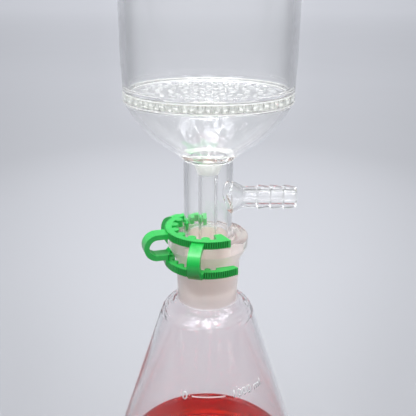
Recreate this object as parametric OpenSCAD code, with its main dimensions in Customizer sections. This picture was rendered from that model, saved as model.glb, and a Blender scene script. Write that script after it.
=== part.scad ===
// Vacuum filtration unit: a perforated-plate filter funnel with a side hose
// connector, standing in the ground socket of a conical flask and held there by
// a moulded joint clip. The table is z = 0 and every round piece turns about Z.

/* [Flask] */
// Height of the flask, from the table to the top of its flange
flask_h = 199.5; // [170:0.5:260]
// Diameter that the cone would have at the table, without its rounded heel
flask_base_d = 148; // [130:1:180]
// Diameter that the cone would have at the shoulder, without its rounding
shoulder_d = 45.4; // [38:0.1:60]
// Thickness of the flask's wall
flask_wall = 2.4; // [1.6:0.1:3.2]
// Thickness of the flask's floor
flask_floor = 3; // [2:0.1:4]
// Radius of the heel, between floor and cone
heel_r = 12; // [8:0.5:16]
// Height by which the middle of the floor is pushed up
push_up = 2.5; // [1:0.5:5]

/* [Neck] */
// Thickness of the glass around the small end of the socket
socket_wall = 4.5; // [3:0.1:6]
// Length of the neck past the socket
neck_past = 6.5; // [5:0.5:12]
// Thickness of the neck's wall under the socket
neck_wall = 2.6; // [2:0.1:3.2]
// Outside diameter of the flange
flange_d = 40.5; // [38:0.1:46]
// Height of the flange's upright band
flange_band = 5.4; // [3:0.1:7]
// Height of the flare between the band and the neck
flare_h = 7; // [5:0.1:9]
// Fall of the shoulder between neck and cone, from level
shoulder_angle = 25; // [10:1:35]
// Radius of the shoulder
shoulder_r = 11; // [4:0.5:16]

/* [Ground joint] */
// Large end of the ground cone
joint_d = 24; // [22:0.1:26]
// Length of the ground cone
joint_len = 29; // [24:0.5:32]
// Diameter lost for each unit of length
joint_taper = 0.1; // [0.08:0.01:0.12]
// Radial clearance between the ground cone and its socket
joint_gap = 0.05; // [0.02:0.01:0.1]

/* [Bowl] */
// Outside diameter of the bowl
bowl_d = 80; // [70:1:100]
// Height of the bowl above the plate
bowl_h = 112; // [80:1:160]
// Thickness of the bowl's wall
bowl_wall = 2.8; // [2:0.1:4]

/* [Perforated plate] */
// Thickness of the plate
plate_t = 4.1; // [3:0.1:6]
// Diameter of each hole
hole_d = 2.4; // [1.5:0.1:3]
// Number of rings of holes around the middle one
hole_rings = 5; // [3:1:6]
// Distance from the bowl's inside to the outer ring of holes
hole_margin = 5.85; // [3:0.05:8]

/* [Bulb] */
// Height of the bulb, from the plate down to the ring seal
bulb_h = 27.4; // [24:0.2:40]
// Thickness of the bulb's wall
bulb_wall = 2.6; // [2:0.1:3.5]
// How far the ring seal's bead stands out past the jacket
seal_out = 1.6; // [0.8:0.1:3]

/* [Vacuum jacket] */
// Outside diameter of the jacket
jacket_d = 24; // [22.5:0.1:26]
// Thickness of the jacket's wall
jacket_wall = 1.8; // [1.4:0.1:2.2]
// Length of the jacket between the flask's flange and the ring seal
stem_len = 40; // [34:0.5:60]

/* [Drip tube] */
// Outside diameter of the drip tube
drip_d = 9.4; // [8.8:0.1:11]
// Thickness of the drip tube's wall
drip_wall = 1.2; // [1:0.1:1.5]
// Length of the drip tube past the end of the ground cone
drip_past = 12; // [6:0.5:30]
// Bevel of the drip tube's tip, from level
tip_bevel = 30; // [0:5:45]

/* [Hose connector] */
// Height of the connector's axis above the flange
port_rise = 19.3; // [17:0.1:26]
// Length of the connector's plain neck
port_neck_len = 7; // [4:0.5:20]
// Diameter of the connector's plain neck
port_neck_d = 10.4; // [9.6:0.1:11]
// Diameter over the barbs
barb_d = 11.8; // [11.2:0.1:13]
// Diameter of the connector's bore
port_bore = 6.4; // [5.8:0.1:7]
// Length that a hose covers
barb_len = 19; // [15:0.5:24]
// Number of barbs
barbs = 3; // [2:1:4]

/* [Filtrate] */
// Level of the filtrate above the table
fill_h = 62; // [30:0.5:90]
// Rise of the meniscus at the wall
meniscus = 1.6; // [0.5:0.1:3]

/* [Joint clip] */
// How far the upper jaw reaches past the flange
jaw_over = 1.3; // [1:0.05:3]
// How far the lower jaw reaches past the flange
lower_jaw_over = 1.85; // [1:0.05:4]
// Height of each jaw
jaw_h = 3.6; // [2.5:0.1:4.5]
// Half of the arc that the upper jaw covers
upper_half = 103; // [96:0.5:120]
// Half of the arc that the lower jaw covers
lower_half = 114.5; // [100:0.5:120]
// Direction in which the clip's mouth opens, about Z
clip_dir = 17.5; // [-180:0.5:180]
// Clearance between the clip and the glass
clip_gap = 0.3; // [0.2:0.05:0.6]
// How far the bowed straps stand out past the upper jaw
strap_out = 9.6; // [8:0.1:13]
// How far the finger loop stands out past the upper jaw
loop_out = 11.6; // [8:0.1:16]
// Width of the straps
strap_w = 6; // [4:0.1:8]
// Width of the finger loop
loop_w = 7; // [5:0.1:9]
// Thickness of the straps and the loop
strap_t = 2.6; // [1.8:0.1:3.2]
// Half of the angle between the straps
strap_angle = 60; // [45:0.5:70]
// Height of the finger loop
loop_h = 13.6; // [10:0.1:16]

/* [Hidden] */
$fn = 96;

// Heights of the funnel's seams
seal_z = flask_h + stem_len;
plate_bottom = seal_z + bulb_h;
plate_top = plate_bottom + plate_t;

// The ground joint: large end level with the flange, small end below
joint_r = joint_d / 2;
joint_end_r = joint_r - joint_len * joint_taper / 2;
joint_end_z = flask_h - joint_len;
mouth_h = 0.8;

// The neck of the flask, as tapered as its socket
flange_r = flange_d / 2;
neck_foot_z = joint_end_z - neck_past;
neck_top_z = flask_h - flange_band - flare_h;
neck_r = joint_end_r + joint_gap + socket_wall;
neck_top_r = neck_r + (neck_top_z - neck_foot_z) * joint_taper / 2;

// The cone of the flask, from its shoulder down to the table
flask_base_r = flask_base_d / 2;
shoulder_x = shoulder_d / 2;
shoulder_z = neck_foot_z - (shoulder_x - neck_r) * tan(shoulder_angle);
cone_lean = (flask_base_r - shoulder_x) / shoulder_z;

// Offset of the cone's inside, measured level
cone_shift = flask_wall * sqrt(1 + cone_lean * cone_lean);

// Smaller features of the flask
foot_in_r = flask_base_r - heel_r - 8.5;
foot_ramp = 6;
lip_r = 1.4;
mouth_bevel = 0.6;
socket_relief = 2.5;

// The funnel
bowl_r = bowl_d / 2;
plate_r = bowl_r - 0.6;
seam = 0.35;
root_r = plate_r - bowl_wall + 0.4;
root_w = 1.4;
hole_pitch = (root_r - root_w - hole_margin) / hole_rings;
jacket_r = jacket_d / 2;
seal_r = jacket_r + seal_out;
drip_r = drip_d / 2;
drip_mouth_r = drip_r + 3.2;
drip_flare_h = 8;
drip_end_z = joint_end_z - drip_past;
seal_bead = 1.4;

// The connector
port_z = flask_h + port_rise;
port_flare = 3.2;
port_flare_len = 5;
port_flare_r = 4;
barb_start = jacket_r + port_flare_len + port_neck_len;
barb_pitch = barb_len / barbs;
barb_land = 0.9;
barb_step = 0.4;
barb_dip = 0.1;
tip_r = 0.7;

// The clip
jaw_r = flange_r + jaw_over;
lower_jaw_r = flange_r + lower_jaw_over;
jaw_climb = 1;
upper_jaw_z = flask_h + clip_gap;
lower_jaw_z = neck_top_z + jaw_climb - jaw_h;
upper_slot = max(jacket_r, joint_r) + clip_gap;
lower_slot = neck_top_r + jaw_climb * (flange_r - neck_top_r) / flare_h + clip_gap;
tooth_pitch = 23;
tooth_r = 2.1;
tooth_mid = jaw_r - 4.6;
low_tooth_pitch = 14.5;
low_tooth_r = 1.5;
rib_pitch = 3;
rib_depth = 0.7;
rib_gap = 0.72;
pad_angle = 86;
pad_back = 5;
bow_root = flange_r + clip_gap;
bow_drop = 0.9;
bow_lap = 1;
web_t = 2.2;

// Radius of the flask's outside on the cone, at height z
function cone_r(z) = flask_base_r - cone_lean * z;

// A vector of length 1
function unit(v) = v / norm(v);

// Half of the angle at corner b between its neighbours a and c
function half_angle(a, b, c) = acos(unit(a - b) * unit(c - b)) / 2;

// One corner of an outline, rounded to radius r with the arc's points
function corner(a, b, c, r) =
    r <= 0 ? [b] :
    let (u = unit(a - b), v = unit(c - b), half = half_angle(a, b, c),
         mid = b + unit(u + v) * r / sin(half),
         p = b + u * r / tan(half) - mid, q = b + v * r / tan(half) - mid,
         start = atan2(p[1], p[0]), raw = atan2(q[1], q[0]) - start,
         sweep = raw > 180 ? raw - 360 : (raw < -180 ? raw + 360 : raw),
         n = max(2, ceil(abs(sweep) / 12)))
    [for (i = [0 : n]) mid + r * [cos(start + sweep * i / n), sin(start + sweep * i / n)]];

// A closed outline from corners given as [x, y, radius]. Where two roundings
// would meet on the side between them, both are made small enough to fit.
function outline(c) =
    let (n = len(c), spare = 0.001,
         xy = [for (p = c) [p[0], p[1]]],
         side = [for (i = [0 : n - 1]) norm(xy[(i + 1) % n] - xy[i])],
         half = [for (i = [0 : n - 1]) half_angle(xy[(i + n - 1) % n], xy[i], xy[(i + 1) % n])],
         used = [for (i = [0 : n - 1]) c[i][2] / tan(half[i])],
         fit = [for (i = [0 : n - 1]) side[i] / (used[i] + used[(i + 1) % n] + spare)])
    [for (i = [0 : n - 1])
        each corner(xy[(i + n - 1) % n], xy[i], xy[(i + 1) % n],
                    c[i][2] * min(1, fit[i], fit[(i + n - 1) % n]))];

// A piece turned about Z from corners given as [radius, height, rounding]
module turned(c) {
    rotate_extrude() polygon(outline(c));
}

// The conical flask, blown in one piece with its ground socket
module flask() {
    mouth_r = joint_r + joint_gap;
    socket_end_r = joint_end_r + joint_gap;
    inner_neck_r = neck_r - neck_wall;
    inner_shoulder_z = shoulder_z - flask_wall;
    inner_floor_z = push_up + flask_floor;
    foot_fillet = 3;
    ramp_fillet = 8;
    neck_fillet = 1.5;
    flare_fillet = 6;
    band_fillet = 3;
    band_lean = 0.2;
    color([0.86, 0.9, 0.9, 0.35])
    turned([
        [0, push_up, 0],
        [foot_in_r - foot_ramp, push_up, ramp_fillet],
        [foot_in_r, 0, foot_fillet],
        [flask_base_r, 0, heel_r],
        [shoulder_x, shoulder_z, shoulder_r],
        [neck_r, neck_foot_z, neck_fillet],
        [neck_top_r, neck_top_z, flare_fillet],
        [flange_r - band_lean, flask_h - flange_band, band_fillet],
        [flange_r, flask_h, lip_r],
        [mouth_r, flask_h, mouth_bevel],
        [mouth_r, flask_h - mouth_h, 0],
        [socket_end_r, joint_end_z, 0],
        [inner_neck_r, joint_end_z - socket_relief, neck_fillet],
        [inner_neck_r, neck_foot_z - neck_fillet, 2 * neck_fillet],
        [cone_r(inner_shoulder_z) - cone_shift, inner_shoulder_z, shoulder_r - flask_wall],
        [cone_r(inner_floor_z) - cone_shift, inner_floor_z, heel_r - flask_wall],
        [0, inner_floor_z, 0]
    ]);
}

// The filtrate, with its meniscus against the cone
module filtrate() {
    wet_gap = 0.1;
    creep_t = 0.3;
    curve_w = 6;
    curve_r = 2;
    floor_z = push_up + flask_floor + wet_gap;
    creep_z = fill_h + meniscus;
    wet_shift = cone_shift + wet_gap;
    color([0.85, 0.1, 0.06, 0.8])
    turned([
        [0, floor_z, 0],
        [cone_r(floor_z) - wet_shift, floor_z, heel_r - flask_wall],
        [cone_r(creep_z) - wet_shift, creep_z, 0],
        [cone_r(creep_z) - wet_shift - creep_t, creep_z, 0],
        [cone_r(fill_h) - wet_shift - 4 * creep_t, fill_h, curve_r],
        [cone_r(fill_h) - wet_shift - curve_w, fill_h, 0],
        [0, fill_h, 0]
    ]);
}

// The bowl: a wide tube, drawn in a little where it is fused to the plate
module bowl() {
    draw_in = 14;
    draw_fillet = 30;
    root_h = 2.4;
    root_fillet = 4;
    rim_h = 3;
    rim_out = 0.6;
    rim_fillet = 6;
    rim_r = 1.2;
    bowl_top = plate_top + bowl_h;
    bore_r = bowl_r - bowl_wall;
    color([0.88, 0.92, 0.94, 0.3])
    turned([
        [plate_r - seam, plate_top, 0],
        [plate_r, plate_top + seam, 0],
        [bowl_r, plate_top + draw_in, draw_fillet],
        [bowl_r, bowl_top - rim_h, rim_fillet],
        [bowl_r + rim_out, bowl_top, rim_r],
        [bore_r, bowl_top, rim_r],
        [bore_r, plate_top + draw_in, draw_fillet],
        [root_r, plate_top + root_h, root_fillet],
        [root_r - root_w, plate_top, 0]
    ]);
}

// One hole of the plate, cut past both faces
module plate_hole() {
    past = 1;
    translate([0, 0, -past]) cylinder(d = hole_d, h = plate_t + 2 * past, $fn = 24);
}

// The holes of the plate: one in the middle, then rings of 6, 12, 18 and so on
module plate_holes() {
    plate_hole();
    for (ring = [1 : hole_rings], i = [0 : 6 * ring - 1])
        rotate([0, 0, 60 * i / ring]) translate([ring * hole_pitch, 0, 0]) plate_hole();
}

// The perforated plate that the filter paper lies on
module perforated_plate() {
    color([0.8, 0.84, 0.82, 0.6])
    translate([0, 0, plate_bottom])
    difference() {
        turned([
            [0, 0, 0],
            [plate_r - seam, 0, 0],
            [plate_r, seam, 0],
            [plate_r, plate_t - seam, 0],
            [plate_r - seam, plate_t, 0],
            [0, plate_t, 0]
        ]);
        plate_holes();
    }
}

// The bulb under the plate, drawn down to the ring seal
module bulb() {
    throat_h = 2.4;
    throat_out = 2.2;
    throat_fillet = 3;
    belly_part = 0.56;
    belly_share = 0.79;
    belly_fillet = 50;
    wall_in = bulb_wall * 0.7;
    wall_up = bulb_wall * 0.75;
    seal_foot_z = seal_z - seal_bead;
    throat_z = seal_z + throat_h;
    throat_r = seal_r + throat_out;
    belly_z = plate_bottom - bulb_h * belly_part;
    belly_r = plate_r * belly_share;
    color([0.88, 0.92, 0.94, 0.3])
    turned([
        [plate_r - seam, plate_bottom, 0],
        [plate_r, plate_bottom - seam, 0],
        [belly_r, belly_z, belly_fillet],
        [throat_r, throat_z, throat_fillet],
        [seal_r, seal_z, seal_bead / 2],
        [jacket_r, seal_foot_z, 0],
        [drip_mouth_r - drip_wall, seal_foot_z, 0],
        [jacket_r - jacket_wall / 2, throat_z, throat_fillet / 2],
        [throat_r, throat_z + bulb_wall, throat_fillet],
        [belly_r - wall_in, belly_z + wall_up, belly_fillet - bulb_wall],
        [plate_r - bulb_wall - 2 * seam, plate_bottom, 0]
    ]);
}

// The jacket: the tube that carries the ground cone and the vacuum
module vacuum_jacket() {
    cone_start = 4;
    end_r = 0.8;
    inner_r = jacket_r - jacket_wall;
    color([0.88, 0.92, 0.94, 0.3])
    difference() {
        turned([
            [inner_r, seal_z - seal_bead, 0],
            [jacket_r, seal_z - seal_bead, 0],
            [jacket_r, flask_h + cone_start, 0],
            [joint_r, flask_h + clip_gap, 0],
            [joint_r, flask_h - mouth_h, 0],
            [joint_end_r, joint_end_z, end_r],
            [joint_end_r - jacket_wall, joint_end_z, end_r],
            [joint_r - jacket_wall, flask_h - mouth_h, 0],
            [inner_r, flask_h + cone_start, 0]
        ]);
        translate([0, 0, port_z]) rotate([0, 90, 0])
            cylinder(d = port_bore, h = 2 * jacket_r, $fn = 48);
    }
}

// The drip tube inside the jacket, flared into the bulb and bevelled at its tip
module drip_tube() {
    flare_fillet = 4;
    spare = 5;
    top_z = seal_z - seal_bead;
    bore_r = drip_r - drip_wall;
    cut = 2 * drip_d;
    color([0.9, 0.92, 0.86, 0.4])
    difference() {
        turned([
            [bore_r, drip_end_z - spare, 0],
            [drip_r, drip_end_z - spare, 0],
            [drip_r, top_z - drip_flare_h, flare_fillet],
            [drip_mouth_r, top_z, 0],
            [drip_mouth_r - drip_wall, top_z, 0],
            [bore_r, top_z - drip_flare_h + drip_wall, flare_fillet]
        ]);
        translate([0, 0, drip_end_z]) rotate([0, tip_bevel, 0])
            translate([-cut, -cut, -cut]) cube([2 * cut, 2 * cut, cut]);
    }
}

// Outline of the connector from its root on the jacket out to its tip
function port_outline() =
    let (neck = port_neck_d / 2, crest = barb_d / 2, start = barb_start,
         mouth = port_bore / 2, root = jacket_r, tip = barb_start + barb_len)
    concat(
        [[0, mouth, 0], [0, neck + port_flare + 2, 0], [root, neck + port_flare, 0],
         [root + port_flare_len, neck, port_flare_r], [start, neck, 0]],
        [for (i = [0 : barbs - 1]) each [
            [start + i * barb_pitch, crest, 0],
            [start + i * barb_pitch + barb_land, crest, 0],
            [start + (i + 1) * barb_pitch - barb_step, neck - barb_dip, 0]]],
        [[tip, neck - barb_dip, tip_r], [tip, mouth, tip_r]]);

// The hose connector, fused to the jacket's side
module hose_connector() {
    reach = 2 * jacket_d;
    color([0.88, 0.92, 0.94, 0.35])
    difference() {
        translate([0, 0, port_z]) rotate([0, 90, 0])
            rotate_extrude()
                polygon([for (p = outline(port_outline())) [p[1], p[0]]]);
        translate([0, 0, port_z - reach / 2]) cylinder(r = jacket_r, h = reach);
    }
}

// A plane sector from -half to half about the clip's closed side
module sector(r, half) {
    far = r * 2;
    steps = 4;
    polygon(concat([[0, 0]],
        [for (i = [-steps : steps])
            far * [-cos(half * i / steps), sin(half * i / steps)]]));
}

// Fine upright ribs: grooves round the outside of a jaw
module rib_grooves(r, half) {
    for (a = [-half + rib_pitch : rib_pitch : half - rib_pitch])
        rotate([0, 0, 180 + a])
            translate([r, 0])
                polygon([[-rib_depth, 0], [0, -rib_gap / 2], [rib_depth, 0], [0, rib_gap / 2]]);
}

// Plan of a jaw: a rim with rounded teeth inside, closed at -X and open at +X
module jaw_plan(r, half, slot, teeth_mid, teeth_r, pitch) {
    difference() {
        union() {
            intersection() {
                difference() {
                    circle(r = r);
                    circle(r = teeth_mid + teeth_r / 2);
                }
                sector(r, half);
            }
            for (i = [-floor(pad_angle / pitch) : floor(pad_angle / pitch)])
                rotate([0, 0, 180 + i * pitch])
                    translate([teeth_mid, 0]) circle(r = teeth_r, $fn = 32);
            intersection() {
                circle(r = r);
                difference() {
                    sector(r, half);
                    sector(r, pad_angle);
                }
                for (s = [-1, 1])
                    translate([-pad_back, s * (slot + r / 2) - r / 2]) square([r, r]);
            }
        }
        circle(r = slot);
        translate([0, -slot]) square([r * 2, slot * 2]);
        rib_grooves(r, half);
    }
}

// A bow in the upright plane between two heights, out to radius far and back
module bow(far, width, low, high) {
    h = high - low;
    mid = far - h / 2;
    leg = max(mid - bow_root, 0) + bow_lap;
    rotate([90, 0, 0]) linear_extrude(width, center = true)
        translate([0, low]) {
            translate([mid, h / 2]) difference() {
                circle(d = h);
                circle(d = h - 2 * strap_t);
                translate([-2 * h, -h]) square(2 * h);
            }
            for (y = [0, h - strap_t]) translate([bow_root, y]) square([leg, strap_t]);
        }
}

// The joint clip, moulded in one piece
module joint_clip() {
    bow_top = upper_jaw_z + jaw_h - bow_drop;
    loop_low = bow_top - loop_h;
    web_low = lower_jaw_z + jaw_h / 2;
    color([0.12, 0.72, 0.28])
    rotate([0, 0, clip_dir])
    union() {
        translate([0, 0, upper_jaw_z]) linear_extrude(jaw_h)
            jaw_plan(jaw_r, upper_half, upper_slot, tooth_mid, tooth_r, tooth_pitch);
        translate([0, 0, lower_jaw_z]) linear_extrude(jaw_h)
            jaw_plan(lower_jaw_r, lower_half, lower_slot,
                     lower_slot + low_tooth_r, low_tooth_r, low_tooth_pitch);
        for (a = [-strap_angle, strap_angle])
            rotate([0, 0, 180 + a])
                bow(jaw_r + strap_out, strap_w, lower_jaw_z + bow_drop, bow_top);
        rotate([0, 0, 180]) bow(jaw_r + loop_out, loop_w, loop_low, bow_top);
        translate([-bow_root - web_t, -loop_w / 2, web_low])
            cube([web_t, loop_w, loop_low + strap_t - web_low]);
    }
}

flask();
filtrate();
bowl();
perforated_plate();
bulb();
vacuum_jacket();
drip_tube();
hose_connector();
joint_clip();
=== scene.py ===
# %% [markdown]
# # A vacuum filtration unit, made as a lesson
# The object is laboratory glass: a funnel with a perforated plate stands in the
# ground neck of a conical flask, and a green moulded clip holds the two together.
# Glass shows every wall behind every other wall, so this script makes each glass
# object as one closed shell with its real wall thickness, and lets the renderer
# bend the light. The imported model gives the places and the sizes.

# %% Load the frame
from math import atan2, ceil, cos, degrees, exp, pi, radians, sin, sqrt, tan

import bpy
import bmesh
from mathutils import Matrix, Vector


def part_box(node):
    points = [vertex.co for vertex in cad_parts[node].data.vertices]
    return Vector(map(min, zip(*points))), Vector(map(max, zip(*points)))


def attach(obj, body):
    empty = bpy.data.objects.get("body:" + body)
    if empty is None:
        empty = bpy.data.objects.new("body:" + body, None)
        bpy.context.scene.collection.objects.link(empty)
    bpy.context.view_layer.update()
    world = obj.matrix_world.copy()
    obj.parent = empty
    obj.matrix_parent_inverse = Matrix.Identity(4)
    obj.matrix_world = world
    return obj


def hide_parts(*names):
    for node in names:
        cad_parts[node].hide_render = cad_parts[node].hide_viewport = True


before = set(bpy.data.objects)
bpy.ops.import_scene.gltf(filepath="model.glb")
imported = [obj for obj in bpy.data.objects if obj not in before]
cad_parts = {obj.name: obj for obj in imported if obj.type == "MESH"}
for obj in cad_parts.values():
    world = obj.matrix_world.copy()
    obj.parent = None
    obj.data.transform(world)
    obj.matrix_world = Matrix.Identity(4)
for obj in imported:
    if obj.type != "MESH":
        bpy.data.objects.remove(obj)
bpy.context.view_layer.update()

scene = bpy.context.scene
MM = 0.001

# %% [markdown]
# ## Where things are
# The main heights and radii are read from the boxes of imported nodes, in
# millimetres, so a piece made here lies where its solid lies. Wall thicknesses and
# roundings, which a box can't tell, and the other sizes are written as numbers.

# %% Read the places from the imported nodes
def low(node):
    """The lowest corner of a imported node, in millimetres."""
    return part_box(node)[0] / MM


def high(node):
    """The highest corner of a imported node, in millimetres."""
    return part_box(node)[1] / MM


FLASK_TOP = high("flask").z
PLATE_BOTTOM = low("perforated_plate").z
PLATE_TOP = high("perforated_plate").z
PLATE_R = high("perforated_plate").y
BOWL_TOP = high("bowl").z
SEAL_FOOT = high("vacuum_jacket").z
JACKET_R = high("vacuum_jacket").y
JOINT_END = low("vacuum_jacket").z
DRIP_LOW = low("drip_tube").z
PORT_Z = (low("hose_connector").z + high("hose_connector").z) / 2
PORT_TIP = high("hose_connector").x
print("plate from", round(PLATE_BOTTOM, 1), "to", round(PLATE_TOP, 1), "mm")
print("connector axis at", round(PORT_Z, 1), "mm, tip at", round(PORT_TIP, 1), "mm")

# %% [markdown]
# ## Turned outlines
# Glass tube is worked on a lathe, so nearly every wall is a turned shape. An
# outline is a list of corners, each with a radius, a height and a rounding. The
# rounding is swapped for an arc of short steps, and the outline is then swept
# round the Z axis. Modelling by sweep keeps the walls even, which matters more in
# glass than in any opaque material, because a wrong wall bends light wrongly.

# %% Round the corners of an outline
ARC_STEP = 5


def half_corner(a, b, c):
    """Half of the angle at b between a and c."""
    return (a - b).angle(c - b) / 2


def corner_arc(a, b, c, r):
    """The points that round corner b to radius r."""
    if r <= 0:
        return [b]
    half = half_corner(a, b, c)
    u, v = (a - b).normalized(), (c - b).normalized()
    mid = b + (u + v).normalized() * (r / sin(half))
    p, q = b + u * (r / tan(half)) - mid, b + v * (r / tan(half)) - mid
    start = atan2(p.y, p.x)
    sweep = (atan2(q.y, q.x) - start + pi) % (2 * pi) - pi
    steps = max(2, ceil(abs(degrees(sweep)) / ARC_STEP))
    angles = [start + sweep * i / steps for i in range(steps + 1)]
    return [mid + Vector((cos(t), sin(t))) * r for t in angles]


def rounded(corners):
    """A closed outline from corners given as (radius, height, rounding)."""
    n = len(corners)
    at = [Vector(c[:2]) for c in corners]
    half = [half_corner(at[i - 1], at[i], at[(i + 1) % n]) for i in range(n)]
    used = [corners[i][2] / tan(half[i]) for i in range(n)]
    fit = [
        (at[(i + 1) % n] - at[i]).length / (used[i] + used[(i + 1) % n] + MM)
        for i in range(n)
    ]
    points = []
    for i in range(n):
        r = corners[i][2] * min(1, fit[i], fit[i - 1])
        points += corner_arc(at[i - 1], at[i], at[(i + 1) % n], r)
    return points


print("a 10 mm square with 2 mm roundings has",
      len(rounded([(0, 0, 2), (10, 0, 2), (10, 10, 2), (0, 10, 2)])), "points")

# %% Sweep an outline round an axis
TURNS = 192
ON_AXIS = 1e-6
SHARP = radians(32)


def mesh_object(name, verts, faces):
    """A new object whose faces look outward."""
    mesh = bpy.data.meshes.new(name)
    mesh.from_pydata(verts, [], faces)
    work = bmesh.new()
    work.from_mesh(mesh)
    bmesh.ops.recalc_face_normals(work, faces=work.faces)
    work.to_mesh(mesh)
    work.free()
    piece = bpy.data.objects.new(name, mesh)
    scene.collection.objects.link(piece)
    return piece


def smooth(piece, angle=SHARP):
    """Smooth shading, except over edges sharper than the angle."""
    piece.data.shade_smooth()
    piece.data.set_sharp_from_angle(angle=angle)
    return piece


def lathe(name, outline, turns=TURNS):
    """A closed shell swept round Z from an outline in millimetres."""
    verts, rings, faces = [], [], []
    for p in outline:
        count = 1 if p.x < ON_AXIS else turns
        rings.append([len(verts) + k for k in range(count)])
        for k in range(count):
            turn = 2 * pi * k / turns
            verts.append((p.x * cos(turn) * MM, p.x * sin(turn) * MM, p.y * MM))
    for i, a in enumerate(rings):
        b = rings[(i + 1) % len(rings)]
        if len(a) == 1 and len(b) == 1:
            continue
        for k in range(turns):
            j = (k + 1) % turns
            loop = [a[k % len(a)], a[j % len(a)], b[j % len(b)], b[k % len(b)]]
            faces.append(list(dict.fromkeys(loop)))
    return mesh_object(name, verts, faces)


# %% Join and cut closed shells
def combine(piece, tool, operation):
    """Joins the tool to the piece or cuts it out of it, and removes the tool."""
    change = piece.modifiers.new(operation.lower(), "BOOLEAN")
    change.object, change.operation, change.solver = tool, operation, "MANIFOLD"
    graph = bpy.context.evaluated_depsgraph_get()
    result = bpy.data.meshes.new_from_object(piece.evaluated_get(graph))
    piece.modifiers.clear()
    piece.data = result
    bpy.data.objects.remove(tool)
    print(operation.lower(), piece.name, "->", len(result.polygons), "faces")
    return piece


# %% [markdown]
# ## Finishes
# A finish is a tree of nodes. Arithmetic in a tree is easier to read as an
# expression than as a row of boxes, so a small class wraps a socket and lets
# Python's operators add the Math nodes. One method makes every other node from
# its type, its settings and the values or links of its sockets.

# %% Write node trees as expressions
class Wire:
    """An output socket that arithmetic can be done with."""

    def __init__(self, finish, socket):
        self.finish, self.socket = finish, socket

    def math(self, operation, *values):
        """Adds one Math node."""
        sockets = dict(enumerate(values))
        return self.finish.node("ShaderNodeMath", sockets, operation=operation)

    def __add__(self, other):
        return self.math("ADD", self, other)

    def __radd__(self, other):
        return self.math("ADD", other, self)

    def __sub__(self, other):
        return self.math("SUBTRACT", self, other)

    def __rsub__(self, other):
        return self.math("SUBTRACT", other, self)

    def __mul__(self, other):
        return self.math("MULTIPLY", self, other)

    def __rmul__(self, other):
        return self.math("MULTIPLY", other, self)

    def __truediv__(self, other):
        return self.math("DIVIDE", self, other)

    def __rtruediv__(self, other):
        return self.math("DIVIDE", other, self)

    def larger(self, other):
        """The larger of two values."""
        return self.math("MAXIMUM", self, other)

    def power(self, exponent):
        """The value raised to an exponent."""
        return self.math("POWER", self, exponent)

    def step(self, start, end):
        """0 where the value is at start, 1 where it is at end, smooth between."""
        sockets = {"Value": self, "From Min": start, "From Max": end}
        return self.finish.node("ShaderNodeMapRange", sockets,
                                interpolation_type="SMOOTHSTEP")


class Finish:
    """A material or a world, and the tree of its nodes."""

    def __init__(self, name, kind="materials"):
        self.material = getattr(bpy.data, kind).new(name)
        self.material.use_nodes = True
        self.tree = self.material.node_tree
        self.tree.nodes.clear()

    def node(self, kind, sockets=None, out=0, stops=None, **settings):
        """Makes one node. Settings and a ramp's stops go in before the sockets."""
        made = self.tree.nodes.new(kind)
        for key, value in settings.items():
            setattr(made, key, value)
        if stops:
            ramp = made.color_ramp.elements
            while len(ramp) < len(stops):
                ramp.new(0.5)
            for element, (place, colour) in zip(ramp, stops):
                element.position, element.color = place, (*colour, 1)
        for key, value in (sockets or {}).items():
            target = made.inputs[key]
            if isinstance(value, Wire):
                self.tree.links.new(value.socket, target)
            elif target.type == "RGBA" and len(value) == 3:
                target.default_value = (*value, 1)
            else:
                target.default_value = value
        return Wire(self, made.outputs[out]) if made.outputs else made

    def place(self, out="Object"):
        """Where a point is, in metres, which is the same in every pose's rest."""
        return self.node("ShaderNodeTexCoord", out=out)

    def split(self, vector):
        """The x, y and z of a vector."""
        first = self.node("ShaderNodeSeparateXYZ", {"Vector": vector})
        return [Wire(self, s) for s in first.socket.node.outputs]

    def noise(self, scale, detail=2.0, stretch=(1, 1, 1), roughness=0.5):
        """Soft noise between 0 and 1, with scale in cells for each metre."""
        at = self.node("ShaderNodeMapping",
                       {"Vector": self.place(), "Scale": stretch})
        return self.node("ShaderNodeTexNoise",
                         {"Vector": at, "Scale": scale, "Detail": detail,
                          "Roughness": roughness})

    def bump(self, height, distance, strength=1.0):
        """A normal that follows a height, with the distance in metres."""
        return self.node("ShaderNodeBump",
                         {"Height": height, "Distance": distance,
                          "Strength": strength})

    def blend_colour(self, share, a, b):
        """From colour a at share 0 to colour b at share 1."""
        sockets = {0: share, 6: a, 7: b}
        return self.node("ShaderNodeMix", sockets, out=2, data_type="RGBA")

    def show(self, surface, volume=None):
        """Ends the tree with its output."""
        sockets = {"Surface": surface}
        if volume is not None:
            sockets["Volume"] = volume
        self.node("ShaderNodeOutputMaterial", sockets)
        print("finish", self.material.name, "has", len(self.tree.nodes), "nodes")
        return self.material


def through_for_lamps(finish, surface, tint):
    """Lets lamplight pass the surface, so what stands behind glass is lit."""
    path = finish.node("ShaderNodeLightPath", out="Is Shadow Ray")
    clear = finish.node("ShaderNodeBsdfTransparent", {"Color": tint})
    return finish.node("ShaderNodeMixShader", {0: path, 1: surface, 2: clear})


# %% [markdown]
# ## Clear glass
# Borosilicate glass bends light with an index near 1.47. A tube that was drawn
# and blown is never quite true, so very shallow long waves run through its
# surface, and they break reflections into the soft streaks that say glass. Where a
# wall is seen edge on, its colour is painted a darker grey. This painted shade
# stands in for the dark room that the edge bends into view.

# %% Make the clear glass
GLASS_INDEX = 1.47
LAMP_TINT = (0.93, 0.935, 0.93)
# The second colour of each pair is painted shade for walls seen edge on.
CLEAR, EDGE_SHADE_GREY = (1.0, 1.0, 0.995), (0.72, 0.725, 0.72)
# The faint pink of the flask's glass is a painted reflection of the red filtrate.
RED_BOUNCE_TINT, RED_BOUNCE_EDGE_SHADE = (0.985, 0.965, 0.97), (0.90, 0.89, 0.90)
EDGE_SHADE_FADE = 0.004


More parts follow.
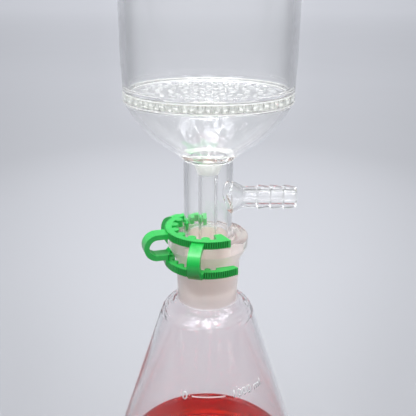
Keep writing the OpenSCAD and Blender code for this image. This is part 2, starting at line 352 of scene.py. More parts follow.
def glass_finish(name, tint, edge_shade_tint, wave_height, wave_scale, stretch, above=0):
    """Clear glass with slow waves, and painted shade where it is seen edge on.

    The wave's height is in metres, and the painted dark edge starts above a height."""
    f = Finish(name)
    facing = f.node("ShaderNodeLayerWeight", {"Blend": 0.5}, out="Facing")
    height = f.split(f.place())[2]
    # Painted shade: the colour turns darker grey where the surface is seen edge on.
    edge = facing.step(0.4, 0.7) * height.step(above, above + EDGE_SHADE_FADE)
    waves = f.noise(wave_scale, detail=1.0, stretch=stretch)
    surface = f.node("ShaderNodeBsdfPrincipled", {
        "Base Color": f.blend_colour(edge, tint, edge_shade_tint),
        "Roughness": 0.0, "IOR": GLASS_INDEX,
        "Transmission Weight": 1.0,
        "Normal": f.bump(waves, wave_height)})
    return f.show(through_for_lamps(f, surface, LAMP_TINT))


# The third colour of each finish is painted shade where a wall is seen edge on.
clear_glass = glass_finish("clear_glass", CLEAR, EDGE_SHADE_GREY, wave_height=0.000015,
                           wave_scale=45, stretch=(1, 1, 0.3), above=PLATE_TOP * MM)
tube_glass = glass_finish("tube_glass", CLEAR, (0.72, 0.73, 0.72),
                          wave_height=0.00003, wave_scale=60, stretch=(1, 1, 0.2))
# The flask's glass is painted a faint pink, a painted reflection of the red filtrate.
blown_glass = glass_finish("blown_glass", RED_BOUNCE_TINT, RED_BOUNCE_EDGE_SHADE,
                           wave_height=0.00016, wave_scale=42, stretch=(1, 1, 0.6))
shoulder_glass = glass_finish("shoulder_glass", RED_BOUNCE_TINT, RED_BOUNCE_EDGE_SHADE,
                              wave_height=0.0005, wave_scale=130, stretch=(1, 1, 5))

# %% [markdown]
# ## Ground and sealed glass
# The cone and the socket are ground with grit, which leaves a fine matt skin
# that scatters light. Where the drip tube is sealed into the bulb, the glass is
# cloudy with a faint yellow cast. Both keep part of their transmission. Their
# roughness is one number for the whole surface. Where it changes from point to
# point, the light that comes through breaks into dark specks. The grain shows in
# the bump instead, and soft upright streaks show in the colour.

# %% Make the ground glass and the cloudy seal
STREAK_SCALE = 260
STREAK_LIFT = 1.08


def cloudy_finish(name, tint, roughness, clearness, grain, grain_height):
    """Glass that lets light through but scatters it."""
    f = Finish(name)
    speckle = f.noise(grain, detail=3.0)
    streak = f.noise(STREAK_SCALE, detail=2.0, stretch=(1, 1, 0.2))
    lifted = [min(1, c * STREAK_LIFT) for c in tint]
    surface = f.node("ShaderNodeBsdfPrincipled", {
        "Base Color": f.blend_colour(streak, tint, lifted),
        "Roughness": roughness, "IOR": GLASS_INDEX,
        "Transmission Weight": clearness,
        "Normal": f.bump(speckle, grain_height)})
    return f.show(through_for_lamps(f, surface, LAMP_TINT))


ground_glass = cloudy_finish("ground_glass", (1.0, 0.85, 0.80), roughness=0.44,
                             clearness=0.40, grain=2600, grain_height=0.000003)
neck_glass = cloudy_finish("neck_glass", (0.99, 0.91, 0.90), roughness=0.28,
                           clearness=0.72, grain=700, grain_height=0.000003)
sealed_glass = cloudy_finish("sealed_glass", (1.0, 1.0, 0.94), roughness=0.30,
                             clearness=0.40, grain=1500, grain_height=0.00001)
drilled_glass = cloudy_finish("drilled_glass", (0.97, 0.98, 0.97), roughness=0.25,
                              clearness=0.70, grain=2600, grain_height=0.00001)
satin_rim = cloudy_finish("satin_rim", (0.68, 0.69, 0.63), roughness=0.16,
                          clearness=0.88, grain=900, grain_height=0.00002)

# %% [markdown]
# ## The funnel's glass
# Bowl, plate, bulb, jacket and drip tube were made apart and then fused, so on
# the real object no wall crosses another. One outline goes all the way round:
# down the outside, up the inside of the jacket, down the drip tube, up its bore
# and back along the underside of the plate.

# %% Give the walls of the funnel
BOWL_R = 40.0
BOWL_WALL = 2.8
BORE_R = BOWL_R - BOWL_WALL
SEAM = 0.35
ROOT_R = PLATE_R - BOWL_WALL + 0.4
ROOT_W = 1.4
DRAW_IN = 14
BULB_WALL = 2.6
SEAL_BEAD = 1.4
SEAL_Z = SEAL_FOOT + SEAL_BEAD
SEAL_R = JACKET_R + 1.6
BULB_H = PLATE_BOTTOM - SEAL_Z
JOINT_R = 12.0
TAPER = 0.05
MOUTH_H = 0.8
CONE_START = 4
JOINT_LEN = FLASK_TOP - JOINT_END
JOINT_END_R = JOINT_R - JOINT_LEN * TAPER
JACKET_WALL = 1.8
DRIP_R = 4.7
DRIP_WALL = 1.2
DRIP_MOUTH_R = DRIP_R + 3.2
DRIP_FLARE = 8
TIP_SLOPE = tan(radians(30))
DRIP_END = DRIP_LOW + DRIP_R * TIP_SLOPE
BELLY_Z = PLATE_BOTTOM - BULB_H * 0.56
BELLY_R = PLATE_R * 0.79
THROAT_Z = SEAL_Z + 2.4
THROAT_R = SEAL_R + 2.2
RIM_OUT = 0.6
print("bulb", round(BULB_H, 1), "mm high; drip tube ends at", round(DRIP_END, 1), "mm")

# %% Draw the outline of the funnel and turn it
funnel_outline = rounded([
    # the bowl, from the middle of the plate up to its rim and down outside
    (0, PLATE_TOP, 0),
    (ROOT_R - ROOT_W, PLATE_TOP, 0.5),
    (ROOT_R, PLATE_TOP + 2.4, 4),
    (BORE_R, PLATE_TOP + DRAW_IN, 30),
    (BORE_R, BOWL_TOP, 1.2),
    (BOWL_R + RIM_OUT, BOWL_TOP, 1.2),
    (BOWL_R, BOWL_TOP - 3, 6),
    (BOWL_R, PLATE_TOP + DRAW_IN, 30),
    # the edge of the plate, between its two seams
    (PLATE_R, PLATE_TOP + SEAM, 0.2),
    (PLATE_R - SEAM, PLATE_TOP, 0.15),
    (PLATE_R, PLATE_TOP - SEAM, 0.2),
    (PLATE_R, PLATE_BOTTOM + SEAM, 0.2),
    (PLATE_R - SEAM, PLATE_BOTTOM, 0.15),
    (PLATE_R, PLATE_BOTTOM - SEAM, 0.2),
    # the bulb, its throat and the ring seal
    (BELLY_R, BELLY_Z, 50),
    (THROAT_R, THROAT_Z, 3),
    (SEAL_R, SEAL_Z, SEAL_BEAD / 2),
    (JACKET_R, SEAL_FOOT, 0.6),
    # the jacket and the ground cone, down outside and up inside
    (JACKET_R, FLASK_TOP + CONE_START, 0),
    (JOINT_R, FLASK_TOP + 0.3, 0),
    (JOINT_R, FLASK_TOP - MOUTH_H, 0),
    (JOINT_END_R, JOINT_END, 0.8),
    (JOINT_END_R - JACKET_WALL, JOINT_END, 0.8),
    (JOINT_R - JACKET_WALL, FLASK_TOP - MOUTH_H, 3),
    (JACKET_R - JACKET_WALL, FLASK_TOP + CONE_START, 3),
    (JACKET_R - JACKET_WALL, SEAL_FOOT, 1),
    # the drip tube, down outside and up its bore
    (DRIP_MOUTH_R, SEAL_FOOT, 0.9),
    (DRIP_R, SEAL_FOOT - DRIP_FLARE, 4),
    (DRIP_R, DRIP_END, 0.45),
    (DRIP_R - DRIP_WALL, DRIP_END, 0.45),
    (DRIP_R - DRIP_WALL, SEAL_FOOT - DRIP_FLARE + DRIP_WALL, 4),
    # the inside of the bulb, back to the middle of the plate
    (DRIP_MOUTH_R - DRIP_WALL, SEAL_FOOT, 1.5),
    (JACKET_R - JACKET_WALL / 2, THROAT_Z, 1.5),
    (THROAT_R, THROAT_Z + BULB_WALL, 3),
    (BELLY_R - BULB_WALL * 0.7, BELLY_Z + BULB_WALL * 0.75, 47),
    (PLATE_R - BULB_WALL - 2 * SEAM, PLATE_BOTTOM, 0.8),
    (0, PLATE_BOTTOM, 0),
])
funnel = lathe("funnel_glass", funnel_outline)
print("outline of", len(funnel_outline), "points,", len(funnel.data.polygons), "faces")

# %% Bevel the tip of the drip tube
for v in funnel.data.vertices:
    if v.co.z < (DRIP_END + 3) * MM and v.co.xy.length < (DRIP_R + 0.1) * MM:
        v.co.z -= v.co.x * TIP_SLOPE
tip_z = min(v.co.z for v in funnel.data.vertices) / MM
print("the tip is lowest at", round(tip_z, 1), "mm")

# %% [markdown]
# ## The hose connector
# The connector is drawn as its own turned outline, laid along X and fused into
# the jacket's wall. Its foot is cut to the jacket's curve first, so that nothing
# of it stands inside the jacket. Then its bore is cut through to the jacket. The
# foot is hollow and flared, as blown glass is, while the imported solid's bore is
# straight.

# %% Make the connector and fuse it on
PORT_BORE_R = 3.2
PORT_NECK_R = 5.2
PORT_WALL = 1.7
CREST_R = 5.9
FLARE = 3.2
FLARE_LEN = 5
BARBS = 3
ROUND_TURNS = 96
BARB_START = JACKET_R + FLARE_LEN + 7
BARB_PITCH = (PORT_TIP - BARB_START) / BARBS


def connector_outline():
    """The connector's corners as (radius, place along it, rounding)."""
    corners = [(0, 0, 0), (PORT_NECK_R + FLARE + 2, 0, 0),
               (PORT_NECK_R + FLARE, JACKET_R - 0.9, 0.8),
               (PORT_NECK_R, JACKET_R + FLARE_LEN, 5), (PORT_NECK_R, BARB_START, 0.5)]
    for i in range(BARBS):
        foot = BARB_START + i * BARB_PITCH
        corners += [(CREST_R, foot, 0.4), (CREST_R, foot + 0.9, 0.6),
                    (PORT_NECK_R - 0.1, foot + BARB_PITCH - 0.4, 0.5)]
    return corners + [(PORT_NECK_R - 0.1, PORT_TIP, 0.9), (0, PORT_TIP, 0)]


LAY_ALONG_X = Matrix.Translation((0, 0, PORT_Z * MM)) @ Matrix.Rotation(pi / 2, 4, "Y")
connector = lathe("connector", rounded(connector_outline()), turns=ROUND_TURNS)
connector.data.transform(LAY_ALONG_X)
inside_r, inside_h = JACKET_R - 0.8, 20
inside = lathe("jacket_inside", rounded([
    (0, PORT_Z - inside_h, 0), (inside_r, PORT_Z - inside_h, 0),
    (inside_r, PORT_Z + inside_h, 0), (0, PORT_Z + inside_h, 0)]))
combine(connector, inside, "DIFFERENCE")
combine(funnel, connector, "UNION")
foot_r = PORT_NECK_R + FLARE - PORT_WALL
bore = lathe("bore", rounded([
    (0, JACKET_R - 6, 0), (foot_r, JACKET_R - 6, 0), (foot_r, JACKET_R - 0.6, 1),
    (PORT_BORE_R, JACKET_R + FLARE_LEN + 0.6, 5),
    (PORT_BORE_R, PORT_TIP - 1, 0.5), (PORT_BORE_R + 0.9, PORT_TIP + 0.2, 0),
    (0, PORT_TIP + 0.2, 0)]), turns=ROUND_TURNS)
bore.data.transform(LAY_ALONG_X)
combine(funnel, bore, "DIFFERENCE")

# %% [markdown]
# ## The perforated plate
# The plate is drilled in rings of 6, 12, 18, 24 and 30 holes round a middle one.
# All the drills are one mesh, so one cut makes every hole. Each drill widens a
# little at both faces, because a hole in glass has a melted, rounded lip.

# %% Drill the plate
HOLE_R = 1.2
HOLE_RINGS = 5
HOLE_MARGIN = 5.85
HOLE_PITCH = (ROOT_R - ROOT_W - HOLE_MARGIN) / HOLE_RINGS
HOLE_LIP = 0.3
HOLE_SIDES = 24
PAST_FACE = 0.05


def drill(cx, cy, verts, faces):
    """Adds one drill of four rings and two ends to the lists."""
    first = len(verts)
    levels = [(HOLE_R + HOLE_LIP, PLATE_BOTTOM - PAST_FACE),
              (HOLE_R, PLATE_BOTTOM + HOLE_LIP),
              (HOLE_R, PLATE_TOP - HOLE_LIP),
              (HOLE_R + HOLE_LIP, PLATE_TOP + PAST_FACE)]
    for r, z in levels:
        for k in range(HOLE_SIDES):
            turn = 2 * pi * k / HOLE_SIDES
            verts.append(((cx + r * cos(turn)) * MM, (cy + r * sin(turn)) * MM, z * MM))
    for level in range(len(levels) - 1):
        a = first + level * HOLE_SIDES
        for k in range(HOLE_SIDES):
            j = (k + 1) % HOLE_SIDES
            faces.append([a + k, a + j, a + j + HOLE_SIDES, a + k + HOLE_SIDES])
    faces.append([first + k for k in reversed(range(HOLE_SIDES))])
    last = first + (len(levels) - 1) * HOLE_SIDES
    faces.append([last + k for k in range(HOLE_SIDES)])


drill_verts, drill_faces = [], []
drill(0, 0, drill_verts, drill_faces)
for ring in range(1, HOLE_RINGS + 1):
    for i in range(6 * ring):
        turn = radians(60 * i / ring)
        drill(ring * HOLE_PITCH * cos(turn), ring * HOLE_PITCH * sin(turn),
              drill_verts, drill_faces)
drills = mesh_object("drills", drill_verts, drill_faces)
combine(funnel, drills, "DIFFERENCE")

# %% [markdown]
# ### Which finish goes where
# A face takes its finish from where its middle lies. The tests run in order, and
# the first that is true decides; a face that none of them claims stays clear.

# %% Give the funnel its finishes and its place
def near_cone(p):
    """True for a point of the ground cone's outside."""
    wall = JOINT_R - (FLASK_TOP - p.z) * TAPER - p.xy.length
    return JOINT_END < p.z < FLASK_TOP - 0.5 and abs(wall) < 0.3


def near_seal(p):
    """True for a point of the cloudy flare, the ring seal, or a seam of the plate."""
    r = p.xy.length
    flare = SEAL_FOOT - 6 < p.z < SEAL_FOOT + 0.1 and r < DRIP_MOUTH_R + 0.1
    seam = r > PLATE_R - 1 and min(abs(p.z - PLATE_TOP), abs(p.z - PLATE_BOTTOM)) < 0.5
    root = abs(r - (ROOT_R - ROOT_W)) < 1 and 0 < p.z - PLATE_TOP < 0.6
    ring = SEAL_FOOT < p.z < SEAL_Z + 0.9 and r > JACKET_R + 0.3
    return flare or seam or root or ring


def on_rim(p):
    """True for a point of the plate's edge, between its seams."""
    return p.xy.length > PLATE_R - 0.3 and PLATE_BOTTOM < p.z < PLATE_TOP


def in_hole(p):
    """True for a point of a drilled wall."""
    return PLATE_BOTTOM + 0.02 < p.z < PLATE_TOP - 0.02 and p.xy.length < ROOT_R - 2


def in_stem(p):
    """True for a point of the jacket, the drip tube or the connector."""
    return p.z < SEAL_FOOT + 0.1


def funnel_finish(p):
    """The number of the finish at a point of the funnel."""
    tests = (near_cone, near_seal, in_hole, on_rim, in_stem)
    return next((i + 1 for i, test in enumerate(tests) if test(p)), 0)


def paint(piece, materials, choose):
    """Gives each face the material whose number choose returns."""
    for m in materials:
        piece.data.materials.append(m)
    for face in piece.data.polygons:
        face.material_index = choose(face.center / MM)


funnel.data.materials.clear()
paint(funnel, [clear_glass, ground_glass, sealed_glass, drilled_glass,
               satin_rim, tube_glass], funnel_finish)
smooth(funnel)
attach(funnel, "funnel")
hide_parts("bowl", "perforated_plate", "bulb", "vacuum_jacket",
            "drip_tube", "hose_connector")

# %% [markdown]
# ## The flask
# The flask is blown into a mould and its socket is ground afterwards. Its floor
# is pushed up in the middle so that it stands on a ring. The outline goes from
# the floor's middle out, up the cone, over the flange and down the inside.

# %% Turn the flask
FLASK_WALL = 2.4
FLOOR_T = 3
PUSH_UP = 2.5
HEEL_R = 12
BASE_R = 74.0
SHOULDER_X = 22.7
FLANGE_R = 20.25
LIP_OUT, LIP_IN, LIP_DIP = 17.2, 13.5, 0.5
SOCKET_WALL = 4.5
NECK_WALL = 2.6
GAP = 0.05
NECK_FOOT = JOINT_END - 6.5
NECK_R = JOINT_END_R + GAP + SOCKET_WALL
NECK_TOP = FLASK_TOP - 12.4
NECK_TOP_R = NECK_R + (NECK_TOP - NECK_FOOT) * TAPER
SHOULDER_SLOPE = tan(radians(25))
SHOULDER_ROUND = 11
SHOULDER_H = 20
BAND_H = 5.4
SHOULDER_Z = NECK_FOOT - (SHOULDER_X - NECK_R) * SHOULDER_SLOPE
LEAN = (BASE_R - SHOULDER_X) / SHOULDER_Z
SHIFT = FLASK_WALL * sqrt(1 + LEAN * LEAN)
FLOOR_Z = PUSH_UP + FLOOR_T
FOOT_IN = BASE_R - HEEL_R - 8.5


def cone_out(z):
    """The radius of the flask's outside at height z on its cone."""
    return BASE_R - LEAN * z


def cone_in(z):
    """The radius of the flask's inside at height z on its cone."""
    return cone_out(z) - SHIFT


flask_outline = rounded([
    (0, PUSH_UP, 0), (FOOT_IN - 6, PUSH_UP, 8), (FOOT_IN, 0, 3),
    (BASE_R, 0, HEEL_R), (SHOULDER_X, SHOULDER_Z, SHOULDER_ROUND),
    (NECK_R, NECK_FOOT, 1.5), (NECK_TOP_R, NECK_TOP, 6),
    (FLANGE_R - 0.2, FLASK_TOP - BAND_H, 3), (FLANGE_R, FLASK_TOP, 1.4),
    (LIP_OUT, FLASK_TOP, 1.2), (LIP_OUT - 0.8, FLASK_TOP - LIP_DIP, 1.2),
    (LIP_IN + 0.8, FLASK_TOP - LIP_DIP, 1.2), (LIP_IN, FLASK_TOP, 0.8),
    (JOINT_R + GAP, FLASK_TOP, 0.5), (JOINT_R + GAP, FLASK_TOP - MOUTH_H, 0),
    (JOINT_END_R + GAP, JOINT_END, 0),
    (NECK_R - NECK_WALL, JOINT_END - 2.5, 1.5), (NECK_R - NECK_WALL, NECK_FOOT - 1.5, 3),
    (cone_in(SHOULDER_Z - FLASK_WALL), SHOULDER_Z - FLASK_WALL,
     SHOULDER_ROUND - FLASK_WALL),
    (cone_in(FLOOR_Z), FLOOR_Z, HEEL_R - FLASK_WALL), (0, FLOOR_Z, 0),
])
flask = lathe("flask_glass", flask_outline)
print("the cone leans", round(LEAN, 4), "and the flask is",
      round(2 * max(p.x for p in flask_outline), 1), "mm wide")

# %% Give the flask its finishes
def near_socket(p):
    """True for a point of the inside of the socket and the neck."""
    inside = p.xy.length < NECK_R - NECK_WALL + 0.2
    return NECK_FOOT - 1 < p.z < FLASK_TOP - 0.5 and inside


def on_neck(p):
    """True for a point of the neck's outside, under the flange's band."""
    return NECK_FOOT < p.z < FLASK_TOP - BAND_H and p.xy.length > NECK_R - 0.5


def on_shoulder(p):
    """True for a point, inside or outside, where the cone turns into the neck."""
    return SHOULDER_Z - SHOULDER_H < p.z < NECK_FOOT


def flask_finish(p):
    """The number of the finish at a point of the flask."""
    tests = (near_socket, on_neck, on_shoulder)
    return next((i + 1 for i, test in enumerate(tests) if test(p)), 0)


paint(flask, [blown_glass, ground_glass, neck_glass, shoulder_glass], flask_finish)
smooth(flask)
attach(flask, "flask")
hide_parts("flask")

# %% [markdown]
# ## The filtrate
# Where a liquid wets glass there is no air between them. If the liquid's side
# lay just inside the glass, the gap would mirror like silver. So its side and
# floor go a quarter of a millimetre into the wall, and light crosses from glass
# to liquid without air. The surface creeps up the wall in a short meniscus.

# %% Turn the filtrate
FILL_Z = 62.0
CREEP = 1.6
WET = 0.25
CREEP_REACH = 1.2
MENISCUS_W = 6


def meniscus(steps=10):
    """Points of the liquid's surface from the wall inward."""
    points = []
    for i in range(steps):
        away = MENISCUS_W * i / (steps - 1)
        z = FILL_Z + CREEP * exp(-away / CREEP_REACH)
        points.append((cone_in(z) - away, z, 0))
    return points


filtrate = lathe("red_filtrate", rounded(
    [(0, FLOOR_Z - WET, 0),
     (cone_in(FLOOR_Z) + WET, FLOOR_Z - WET, HEEL_R - FLASK_WALL),
     (cone_in(FILL_Z + CREEP) + WET, FILL_Z + CREEP, 0)]
    + meniscus() + [(0, FILL_Z, 0)]))

# %% [markdown]
# ### Red right through
# The colour of a liquid is in its depth and not on its skin, so the surface is
# clear and an absorbing volume takes the other colours out on the way. A thin edge
# then stays bright orange, and the deep middle goes dark.

# %% Colour the filtrate
LIQUID_INDEX = 1.34
liquid = Finish("red_liquid")
liquid_surface = liquid.node("ShaderNodeBsdfPrincipled", {
    "Base Color": (1, 1, 1), "Roughness": 0.0, "IOR": LIQUID_INDEX,
    "Transmission Weight": 1.0,
    "Normal": liquid.bump(liquid.noise(55, detail=1.0), 0.00004)})
liquid_depth = liquid.node("ShaderNodeVolumeAbsorption",
                           {"Color": (0.984, 0.84, 0.40), "Density": 420.0})
filtrate.data.materials.append(liquid.show(
    through_for_lamps(liquid, liquid_surface, (1, 1, 1)), liquid_depth))
smooth(filtrate)
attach(filtrate, "flask")
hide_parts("filtrate")

# %% [markdown]
# ## The printed marks
# The volume marks are a thin white enamel fired onto the cone. Text is turned
# into a mesh, laid on the cone by its angle and its distance down the slope, and
# given a little thickness, so the marks are shapes and not paint in a texture.

# %% Lay text and lines on the cone
MARK_OUT = 0.04
MARK_T = 0.05
TEXT_H = 4.2
CAP_SHARE = 0.72
STROKE_GROWTH = 0.008
MARK_Z = 125.9
ZERO_AT, LINE_AT, WORDS_AT = -12.4, -7.4, 12.6
LINE_LEN, LINE_W = 16.8, 0.55


def on_cone(across, up, z, out):
    """A point of the cone's outside: across and up are millimetres on it."""
    slope = sqrt(1 + LEAN * LEAN)
    height = z + up / slope
    r = cone_out(height) + out
    turn = -pi / 2 + across / cone_out(z)
    return (r * cos(turn) * MM, r * sin(turn) * MM, height * MM)


def text_mesh(words):
    """The flat mesh of a word in Blender's own font, one unit high."""
    curve = bpy.data.curves.new("words", "FONT")
    curve.body = words
    curve.size = 1
    curve.resolution_u = 4
    curve.offset = STROKE_GROWTH
    made = bpy.data.objects.new("words", curve)
    scene.collection.objects.link(made)
    graph = bpy.context.evaluated_depsgraph_get()
    mesh = bpy.data.meshes.new_from_object(made.evaluated_get(graph))
    bpy.data.objects.remove(made)
    return mesh


def wrap(mesh, across, up, z, size):
    """Lays a flat mesh on the cone, from across and up at height z."""
    for v in mesh.vertices:
        v.co = on_cone(across + v.co.x * size, up + v.co.y * size, z, MARK_OUT)
    return mesh


def line_mesh(across, length, z, width):
    """A thin line round the cone."""
    steps = 24
    verts, faces = [], []
    for i in range(steps + 1):
        a = across + length * i / steps
        verts += [on_cone(a, -width / 2, z, MARK_OUT), on_cone(a, width / 2, z, MARK_OUT)]
    for i in range(steps):
        faces.append([2 * i, 2 * i + 2, 2 * i + 3, 2 * i + 1])
    mesh = bpy.data.meshes.new("line")
    mesh.from_pydata(verts, [], faces)
    return mesh


text_size = TEXT_H / CAP_SHARE
mark_meshes = [
    wrap(text_mesh("0"), ZERO_AT, -TEXT_H / 2, MARK_Z, text_size),
    line_mesh(LINE_AT, LINE_LEN, MARK_Z, LINE_W),
    wrap(text_mesh("1000 ml"), WORDS_AT, -TEXT_H / 2, MARK_Z, text_size),
]
print("the marks lie", MARK_Z, "mm up, on a cone", round(cone_out(MARK_Z), 1), "mm in radius")

# %% [markdown]
# ### Enamel that is a little thin
# Fired enamel lets some of what is behind it through, more where it is worn. A
# noise mixes a little transparency in, and the same noise sets the gloss.

# %% Join the marks into one piece and give them their enamel
WELD = 1e-7
gather = bmesh.new()
for mesh in mark_meshes:
    gather.from_mesh(mesh)
    bpy.data.meshes.remove(mesh)
bmesh.ops.remove_doubles(gather, verts=gather.verts, dist=WELD)
marks_mesh = bpy.data.meshes.new("volume_marks")
gather.to_mesh(marks_mesh)
gather.free()
marks = bpy.data.objects.new("volume_marks", marks_mesh)
scene.collection.objects.link(marks)
solidify = marks.modifiers.new("thickness", "SOLIDIFY")
solidify.thickness = MARK_T * MM
solidify.offset = 0
enamel = Finish("white_enamel")
wear = enamel.noise(2200, detail=3.0)
enamel_surface = enamel.node("ShaderNodeBsdfPrincipled", {
    "Base Color": enamel.blend_colour(wear, (0.80, 0.79, 0.80), (0.93, 0.92, 0.93)),
    "Roughness": 0.45 + 0.2 * wear, "Normal": enamel.bump(wear, 0.00001)})
thin = enamel.node("ShaderNodeBsdfTransparent")
marks_mesh.materials.append(enamel.show(enamel.node(
    "ShaderNodeMixShader", {0: 0.05 + 0.15 * wear, 1: enamel_surface, 2: thin})))
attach(marks, "flask")

# %% [markdown]
# ## The joint clip
# The clip is one injection moulding in green plastic. Its solid already has the
# jaws, teeth, straps and loop, so it stays, and gets a satin finish with the
# faint orange-peel that a mould leaves. Little light reaches the bottom of the
# narrow grooves round the jaws, so the colour is darker there. How far a point lies
# under the jaw's outer face tells a groove's bottom from its top, and upright faces
# alone take the dark.

# %% Finish the clip
LOWER_JAW_R = 0.0221
JAW_STEP = 0.00055
GROOVE_SHADE = 0.75
plastic = Finish("green_moulding")
grain = plastic.noise(1400, detail=3.0)
flow = plastic.noise(90, detail=2.0)
clip_x, clip_y, clip_z = plastic.split(plastic.place())
upper_jaw = clip_z.step((FLASK_TOP - 10) * MM, (FLASK_TOP - 2) * MM)
from_axis = (clip_x * clip_x + clip_y * clip_y).power(0.5)
sunk = LOWER_JAW_R - JAW_STEP * upper_jaw - from_axis
deep = sunk.step(0.00005, 0.0005) * sunk.step(0.0009, 0.00075)
facing_up = plastic.split(plastic.place("Normal"))[2]
upright = (facing_up * facing_up).step(0.3, 0.1)
moulded = plastic.blend_colour(flow, (0.012, 0.50, 0.070), (0.020, 0.58, 0.095))
plastic_surface = plastic.node("ShaderNodeBsdfPrincipled", {
    "Base Color": plastic.blend_colour(deep * upright * GROOVE_SHADE, moulded,
                                       (0.003, 0.10, 0.015)),
    "Roughness": 0.26 + 0.12 * grain, "IOR": 1.5,
    "Coat Weight": 0.3, "Coat Roughness": 0.12,
    "Normal": plastic.bump(grain, 0.000015)})
green = plastic.show(plastic_surface)
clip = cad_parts["joint_clip"]
clip.data.materials.clear()
clip.data.materials.append(green)
print("clip mesh:", len(clip.data.polygons), "faces")

# %% [markdown]
# ## The floor
# The floor is a wide matt disc in pale grey, and it keeps the unit's shadow. Light
# and shade are painted onto its grey: a painted pool of light behind the unit,
# painted light far away, and painted shade to the sides. In front, far from the
# unit, it is painted dark, but only to rays that glass mirrors. A pale floor there
# would lie as a veil over the liquid.
# Rays that light matt surfaces meet a plain darker grey, so that the floor doesn't
# throw much light up at the unit.

# %% Lay the floor
FLOOR_R = 60
FLOOR_DROP = 0.0002
FLOOR_COLOUR = (0.400, 0.404, 0.419)
DIM_FLOOR = (0.16, 0.16, 0.165)
POOL_Y = 0.55
EYE_Y = 0.28
bpy.ops.mesh.primitive_circle_add(vertices=128, radius=FLOOR_R, fill_type="NGON",
                                  location=(0, 0, -FLOOR_DROP))
floor = bpy.context.object
floor.name = "floor"

# %% Shade the floor
matt = Finish("pale_floor")
mottle = matt.noise(3, detail=2.0)
floor_x, floor_y, _ = matt.split(matt.place())
from_eye = (floor_y + EYE_Y).larger(0.05)
spread_out = (floor_x / from_eye) * (floor_x / from_eye)
# Painted light and shade: a pool of light behind the unit, more light far away and straight
# behind, and shade to the sides.
pool_y = floor_y - POOL_Y
light_pool = (floor_x * floor_x + pool_y * pool_y).step(0.25, 0.0)
far = 0.09 * floor_y.step(0.7, 2.0) + 0.13 * floor_y.step(2.5, 9.0)
behind = 0.10 * spread_out.step(0.035, 0.0) * floor_y.step(0.8, 1.6)
side_shade = 0.14 * spread_out.step(-0.02, 0.16) * floor_y.step(-0.25, 0.1)
mirror_only = (1 - matt.node("ShaderNodeLightPath", out="Is Camera Ray")
               - matt.node("ShaderNodeLightPath", out="Is Transmission Ray"))
unlit = mirror_only.larger(0.0) * floor_y.step(-0.6, -1.6)
# The floor's grey times the painted light and shade. In front, mirrored rays see it painted
# dark.
light = (0.96 + 0.03 * mottle + 0.13 * light_pool + far + behind - side_shade) * (1 - unlit)
bare = matt.node("ShaderNodeBsdfDiffuse", {
    "Color": matt.node("ShaderNodeMix", {0: 1.0, 6: FLOOR_COLOUR, 7: light},
                       out=2, data_type="RGBA", blend_type="MULTIPLY")})
dim = matt.node("ShaderNodeBsdfDiffuse", {"Color": DIM_FLOOR})
scattered = matt.node("ShaderNodeLightPath", out="Is Diffuse Ray")
floor.data.materials.append(matt.show(
    matt.node("ShaderNodeMixShader", {0: scattered, 1: bare, 2: dim})))

# %% [markdown]
# ## The room that the glass mirrors
# Clear glass has no colour of its own, so its streaks are pictures of the room.
# The world has three parts, one for each kind of ray. The camera sees a plain pale
# grey. Rays that light matt surfaces see a sky that is bright overhead. Rays that
# glass mirrors or bends see a dim room with a tall window of panes in front,
# strips of light in the ceiling, and a sweep of pale wall. The spans of the panes
# are angles round the unit in radians, and those of the strips are places on a flat
# ceiling at height 1.

# %% Draw the windows and the ceiling strips
PALE = (0.60, 0.61, 0.64)
PANE_SPANS = ((-1.05, -0.62), (-0.22, 0.26), (0.62, 0.78))
PANE_EDGE, PANE_LIGHT = 0.03, 7.0
STRIP_SPANS = ((-0.43, -0.32), (-0.18, 0.09), (0.30, 0.36), (0.42, 0.55))
STRIP_EDGE, STRIP_LIGHT = 0.02, 8.0
sky = Finish("studio", kind="worlds")
scene.world = sky.material
east, north, up = sky.split(sky.node("ShaderNodeTexCoord", out="Generated"))
up = up.larger(0.0)


def ray(kind):
    """1 for rays of a kind, such as Is Camera Ray, and 0 for others."""
    return sky.node("ShaderNodeLightPath", out=kind)


def bands(value, spans, edge):
    """1 where a value lies in one of the spans and 0 outside, with soft edges."""
    total = 0
    for start, end in spans:
        total = total + value.step(start - edge, start) * value.step(end + edge, end)
    return total


bearing = sky.node("ShaderNodeMath", {0: east, 1: -1 * north}, operation="ARCTAN2")
crossbar = up.step(0.62, 0.64) * up.step(0.71, 0.69)
panes = (bands(bearing, PANE_SPANS, PANE_EDGE) * up.step(0.40, 0.50)
         * up.step(0.93, 0.88) * (1 - crossbar) * PANE_LIGHT)
overhead = up.larger(0.05)
over_x, over_y = east / overhead, north / overhead
strips = (bands(over_x, STRIP_SPANS, STRIP_EDGE) * over_y.step(-0.25, -0.12)
          * over_y.step(0.7, 0.5) * up.step(0.5, 0.6) * STRIP_LIGHT)
print(len(PANE_SPANS), "rows of panes and", len(STRIP_SPANS), "strips of light")

# %% Put the room together
ROOM_DIM, SKY_DIM = 0.15, 0.06
seen = ray("Is Camera Ray")
through = ray("Is Transmission Ray")
mirrored = ray("Is Glossy Ray").larger(through)
front = 0.15 + 0.85 * north.step(0.5, -0.3)
sweep = 0.85 * north.step(-0.6, 0.0).larger(through) * up.step(0.68, 0.35)
high_up = up * up * up * up
room = (mirrored * (ROOM_DIM + sweep + strips + (2.6 * up * up + panes) * front)
        + (1 - mirrored) * (SKY_DIM + 6.4 * high_up))
sky.node("ShaderNodeOutputWorld", {"Surface": sky.node("ShaderNodeBackground", {
    "Color": PALE, "Strength": seen + (1 - seen) * room})})
print("the studio has", len(sky.tree.nodes), "nodes")

# %% [markdown]
# ## Lamps and camera
# Five long narrow lamps hang in front of the unit and well above it. The three
# upright bars lean far back as they rise, and the two level ones run across. The
# camera looks a little down on the plate.

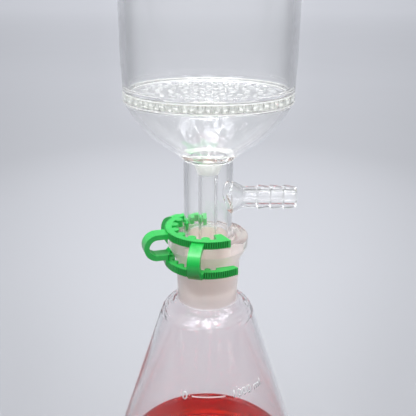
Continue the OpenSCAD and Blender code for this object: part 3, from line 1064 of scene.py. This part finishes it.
# %% Hang the lamps
def soft_lamp(name, place, aim, wide, tall, watts):
    """A rectangular lamp that looks at a point."""
    data = bpy.data.lights.new(name, "AREA")
    data.shape, data.size, data.size_y, data.energy = "RECTANGLE", wide, tall, watts
    lamp = bpy.data.objects.new(name, data)
    scene.collection.objects.link(lamp)
    direction = Vector(aim) - Vector(place)
    lamp.matrix_world = (Matrix.Translation(place)
                         @ direction.to_track_quat("-Z", "Y").to_matrix().to_4x4())
    return lamp


MIDDLE = (0, 0, 0.2)
UPRIGHT_X = (-0.42, -0.08, 0.34)
LEVEL_Y = (-0.3, -0.8)
for i, x in enumerate(UPRIGHT_X):
    soft_lamp(f"upright_bar_{i}", (x, -0.55, 1.65), MIDDLE, wide=0.08, tall=0.8,
              watts=2.2)
for i, y in enumerate(LEVEL_Y):
    soft_lamp(f"level_bar_{i}", (0, y, 1.85 + 0.35 * y), MIDDLE, wide=1.5, tall=0.06,
              watts=3.0)
print(len(UPRIGHT_X) + len(LEVEL_Y), "lamps")

# %% Place the camera
CAMERA_AT = (0, -277.8, PLATE_TOP + 44.7)
PITCH, ROLL = radians(20.35), radians(0.4)
SENSOR_W, LENS, NEAREST = 36, 51.92, 0.01
camera_data = bpy.data.cameras.new("camera")
camera_data.sensor_width, camera_data.lens = SENSOR_W, LENS
camera_data.clip_start = NEAREST
camera = bpy.data.objects.new("camera", camera_data)
scene.collection.objects.link(camera)
camera.matrix_world = (Matrix.Translation(Vector(CAMERA_AT) * MM)
                       @ Matrix.Rotation(pi / 2 - PITCH, 4, "X")
                       @ Matrix.Rotation(ROLL, 4, "Z"))
scene.camera = camera
print("the camera is", round(Vector(CAMERA_AT).xy.length, 1), "mm from the axis")

# %% [markdown]
# ### Bounces
# A ray through this unit crosses many walls, and each costs a bounce. A ray that
# runs out turns black, so the limits are well above the default.

# %% Set the light's bounces and the plain view
BOUNCES = 48
scene.view_settings.view_transform = "Standard"
scene.cycles.max_bounces = BOUNCES
scene.cycles.transmission_bounces = BOUNCES
scene.cycles.glossy_bounces = BOUNCES
scene.cycles.transparent_max_bounces = BOUNCES
print("each ray may bounce", BOUNCES, "times")
